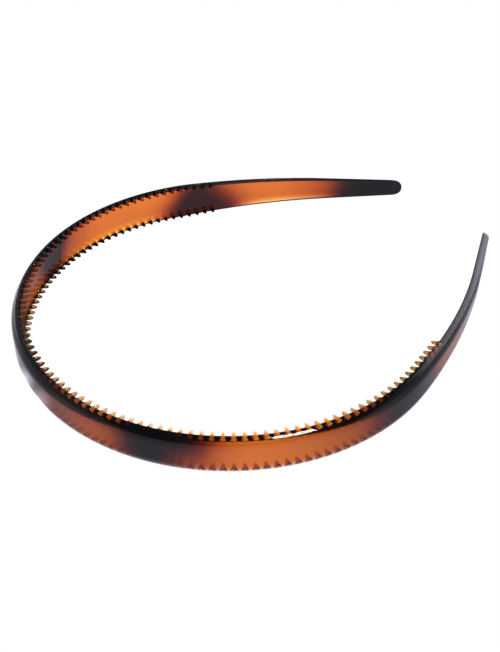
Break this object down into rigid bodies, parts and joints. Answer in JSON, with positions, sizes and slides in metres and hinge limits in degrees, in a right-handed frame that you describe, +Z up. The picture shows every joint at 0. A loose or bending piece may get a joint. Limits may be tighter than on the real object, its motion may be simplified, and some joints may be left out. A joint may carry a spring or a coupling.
{
  "type": "headband",
  "caption": "Open U-shaped headband of translucent tortoiseshell plastic with rows of fine grip teeth inside; its tapered arms spring outward to go over a head.",
  "frame": {"origin": "middle of the footprint, on the surface that the headband lies on", "axes": "+Z up across the width of the band, crown towards -Y, open tips towards +Y, the two arms mirror each other in the YZ plane, +X is the right arm"},
  "size_m": [0.1244, 0.1478, 0.0116],
  "materials": {
    "amber_band_plastic": "polished translucent amber with dark tortoiseshell patches",
    "dark_tip_plastic": "polished, nearly opaque dark brown",
    "honey_tooth_plastic": "polished translucent honey"
  },
  "bodies": {
    "crown": {"crown_band": "amber_band_plastic", "crown_upper_teeth": "honey_tooth_plastic", "crown_lower_teeth": "honey_tooth_plastic"},
    "left_shoulder": {"left_shoulder_band": "amber_band_plastic", "left_shoulder_upper_teeth": "honey_tooth_plastic", "left_shoulder_lower_teeth": "honey_tooth_plastic"},
    "left_side": {"left_side_band": "amber_band_plastic", "left_side_upper_teeth": "honey_tooth_plastic", "left_side_lower_teeth": "honey_tooth_plastic"},
    "left_arm": {"left_arm_band": "amber_band_plastic", "left_arm_upper_teeth": "honey_tooth_plastic", "left_arm_lower_teeth": "honey_tooth_plastic", "left_tip": "dark_tip_plastic"},
    "right_shoulder": {"right_shoulder_band": "amber_band_plastic", "right_shoulder_upper_teeth": "honey_tooth_plastic", "right_shoulder_lower_teeth": "honey_tooth_plastic"},
    "right_side": {"right_side_band": "amber_band_plastic", "right_side_upper_teeth": "honey_tooth_plastic", "right_side_lower_teeth": "honey_tooth_plastic"},
    "right_arm": {"right_arm_band": "amber_band_plastic", "right_arm_upper_teeth": "honey_tooth_plastic", "right_arm_lower_teeth": "honey_tooth_plastic", "right_tip": "dark_tip_plastic"}
  },
  "joints": [
    {"name": "left_crown_flex", "type": "hinge", "parent": "crown", "child": "left_shoulder", "pos_m": [-0.02052, -0.07036, 0.0058], "axis": [0, 0, 1], "range_deg": [0, 7.8], "stiffness_Nm_per_rad": 0.41},
    {"name": "left_shoulder_flex", "type": "hinge", "parent": "left_shoulder", "child": "left_side", "pos_m": [-0.05406, -0.0424, 0.0058], "axis": [0, 0, 1], "range_deg": [0, 7.8], "stiffness_Nm_per_rad": 0.41},
    {"name": "left_side_flex", "type": "hinge", "parent": "left_side", "child": "left_arm", "pos_m": [-0.06096, 0.00072, 0.0058], "axis": [0, 0, 1], "range_deg": [0, 5.3], "stiffness_Nm_per_rad": 0.38},
    {"name": "right_crown_flex", "type": "hinge", "parent": "crown", "child": "right_shoulder", "pos_m": [0.02052, -0.07036, 0.0058], "axis": [0, 0, -1], "range_deg": [0, 7.8], "stiffness_Nm_per_rad": 0.41},
    {"name": "right_shoulder_flex", "type": "hinge", "parent": "right_shoulder", "child": "right_side", "pos_m": [0.05406, -0.0424, 0.0058], "axis": [0, 0, -1], "range_deg": [0, 7.8], "stiffness_Nm_per_rad": 0.41},
    {"name": "right_side_flex", "type": "hinge", "parent": "right_side", "child": "right_arm", "pos_m": [0.06096, 0.00072, 0.0058], "axis": [0, 0, -1], "range_deg": [0, 5.3], "stiffness_Nm_per_rad": 0.38}
  ],
  "couplings": [
    {"joint": "left_shoulder_flex", "follows": "left_crown_flex", "ratio": 1},
    {"joint": "left_side_flex", "follows": "left_crown_flex", "ratio": 0.67},
    {"joint": "right_shoulder_flex", "follows": "right_crown_flex", "ratio": 1},
    {"joint": "right_side_flex", "follows": "right_crown_flex", "ratio": 0.67}
  ]
}
